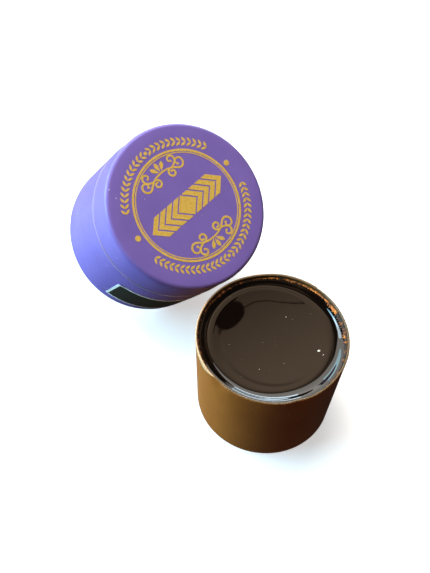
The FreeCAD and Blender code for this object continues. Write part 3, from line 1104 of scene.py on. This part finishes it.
# Lamp that only reflections show: half width and half depth of its oval shade, and its cable
PENDANT_DISTANCE = 0.6
SHADE_PLACE = (-137.6, 58.0)
SHADE_SIZE = (0.0147, 0.0096)
SHADE_TURN = 49.0
SHADE_SIDES = 48
SHADE_RINGS = 5
SHADE_RING_STEP = 0.36
CABLE = ((-139.6, 57.1), (-141.0, 56.6), (-143.0, 56.25), (-146.0, 56.0), (-148.2, 55.75),
         (-149.3, 55.4), (-149.6, 55.0))
CABLE_RADIUS = 0.0005

# Floor and world: the sweep's outline is in millimetres
SWEEP = ((0, 0), (2900, 0, 500), (2950, 3000), (0, 3050))
FLOOR_DROP = 0.0002
WORLD_COLOUR = (1.0, 0.93, 0.86, 1.0)
WORLD_STRENGTH = 0.03


def direction(azimuth, elevation):
    """Unit vector from the object towards a viewer at this azimuth and elevation."""
    turn, rise = math.radians(azimuth), math.radians(elevation)
    return Vector((math.sin(turn) * math.cos(rise), -math.cos(turn) * math.cos(rise), math.sin(rise)))


def aimed(thing, place, distance, roll=0.0):
    """Put a thing on a sphere round the aim point, with its -Z axis towards that point."""
    outward = direction(*place)
    thing.location = AIM + outward * distance
    facing = (-outward).to_track_quat("-Z", "Y")
    thing.rotation_mode = "QUATERNION"
    thing.rotation_quaternion = facing @ Matrix.Rotation(math.radians(roll), 3, "Z").to_quaternion()


def hide_from(thing, *rays):
    """Hide a thing from these kinds of rays: camera, diffuse, glossy or shadow."""
    for ray in rays:
        setattr(thing, "visible_" + ray, False)


def build_camera():
    """Camera that looks down at both objects."""
    lens = bpy.data.cameras.new("camera")
    lens.sensor_fit = "VERTICAL"
    lens.sensor_height = SENSOR
    lens.lens = SENSOR * FOCAL_IN_HEIGHTS
    lens.clip_start = 0.01
    camera = scene_object("camera", lens)
    aimed(camera, CAMERA_PLACE, CAMERA_DISTANCE, CAMERA_ROLL)
    bpy.context.scene.camera = camera


def softbox(name, place, distance, size, power, colour, in_reflections):
    """Rectangular soft light aimed at the object."""
    light = bpy.data.lights.new(name, "AREA")
    light.shape = "RECTANGLE"
    light.size, light.size_y = size
    light.energy = power
    light.color = colour
    lamp = scene_object(name, light)
    aimed(lamp, place, distance)
    if not in_reflections:
        hide_from(lamp, "glossy")


def glow(name, size, colour, dim, bright):
    """Glow that rises from one corner of a card to the opposite one."""
    width, height = size
    n = Nodes(name, Roughness=1.0, Base_Color=(0.0, 0.0, 0.0, 1.0), Specular_IOR_Level=0.0,
              Emission_Color=(*colour, 1.0))
    axes = n.add("ShaderNodeSeparateXYZ")
    n.link(n.place, axes.inputs["Vector"])
    limits = {"From Min": -GLOW_SPAN, "From Max": GLOW_SPAN, "To Min": dim, "To Max": bright}
    span = n.add("ShaderNodeMapRange", limits, interpolation_type="SMOOTHSTEP")
    upward = n.math("MULTIPLY", axes.outputs["Y"], 1 / height)
    sideways = n.math("MULTIPLY", axes.outputs["X"], 1 / width)
    n.link(n.math("SUBTRACT", upward, sideways), span.inputs["Value"])
    n.link(span.outputs["Result"], n.shader.inputs["Emission Strength"])
    return n.material


def glow_card(name, place, size, colour, dim, bright):
    """Glowing card aimed at the object, which only reflections show."""
    corners = ((-1, -1), (1, -1), (1, 1), (-1, 1))
    vertices = [(size[0] / 2 / MM * x, size[1] / 2 / MM * y, 0) for x, y in corners]
    card = mesh_object(name, vertices, [(0, 1, 2, 3)], [glow(name, size, colour, dim, bright)])
    aimed(card, place, GLOW_DISTANCE)
    hide_from(card, "camera", "diffuse", "shadow")


def shade_mesh(vertices, faces):
    """Add the lamp shade: a shallow dome on an oval rim, open side closed by a flat face."""
    outward = direction(*SHADE_PLACE)
    centre = AIM + outward * PENDANT_DISTANCE
    east = Vector((0, 0, 1)).cross(outward).normalized()
    up = outward.cross(east)
    width, depth = SHADE_SIZE
    turn = math.radians(SHADE_TURN)
    across = (east * math.cos(turn) + up * math.sin(turn)) * width
    along = (up * math.cos(turn) - east * math.sin(turn)) * depth
    crown = -outward * depth * 0.5
    count = SHADE_SIDES
    for ring in range(SHADE_RINGS):
        size, rise = math.cos(ring * SHADE_RING_STEP), math.sin(ring * SHADE_RING_STEP)
        for k in range(count):
            angle = 2 * math.pi * k / count
            rim = across * math.cos(angle) + along * math.sin(angle)
            vertices.append(centre + rim * size + crown * rise)
    for ring in range(SHADE_RINGS - 1):
        faces += ring_faces(ring * count, (ring + 1) * count, count)
    faces.append(list(range(count)))


def cable_mesh(vertices, faces):
    """Add the lamp's cable: a square tube along its directions."""
    places = [AIM + direction(*point) * PENDANT_DISTANCE for point in CABLE]
    for first, second in zip(places, places[1:]):
        sideways = (second - first).cross(AIM - first).normalized() * CABLE_RADIUS
        inward = sideways.cross(second - first).normalized() * CABLE_RADIUS
        start = len(vertices)
        for end in (first, second):
            vertices += [end + sideways, end + inward, end - sideways, end - inward]
        faces += ring_faces(start, start + 4, 4)


def build_pendant():
    """Small dark lamp shade and its cable, seen only as a reflection in the rosin."""
    vertices = []
    faces = []
    shade_mesh(vertices, faces)
    cable_mesh(vertices, faces)
    pendant = mesh_object("pendant", np.array([tuple(v) for v in vertices]) / MM, faces, [dark_shade()])
    hide_from(pendant, "camera", "diffuse", "shadow")


def build_lights():
    """Everything that lights the object or shows in its reflections."""
    for lamp in SOFTBOXES:
        softbox(*lamp)
    for card in GLOW_CARDS:
        glow_card(*card)
    build_pendant()
    world = bpy.data.worlds.new("studio")
    bpy.context.scene.world = world
    world.use_nodes = True
    background = world.node_tree.nodes["Background"]
    background.inputs["Color"].default_value = WORLD_COLOUR
    background.inputs["Strength"].default_value = WORLD_STRENGTH


def build_floor():
    """Pale sweep: flat under the object, turning up into a wall far away."""
    floor = turned("floor", rounded(SWEEP), [pale_floor()])
    floor.location.z = -FLOOR_DROP
    hide_from(floor, "diffuse", "glossy", "shadow")


build_lid()
build_tub()
build_label()
build_print()
build_cup_wall()
build_cup_base()
build_cake()
build_film()
build_crumbs()
build_camera()
build_lights()
build_floor()
bpy.context.scene.view_settings.view_transform = "Standard"
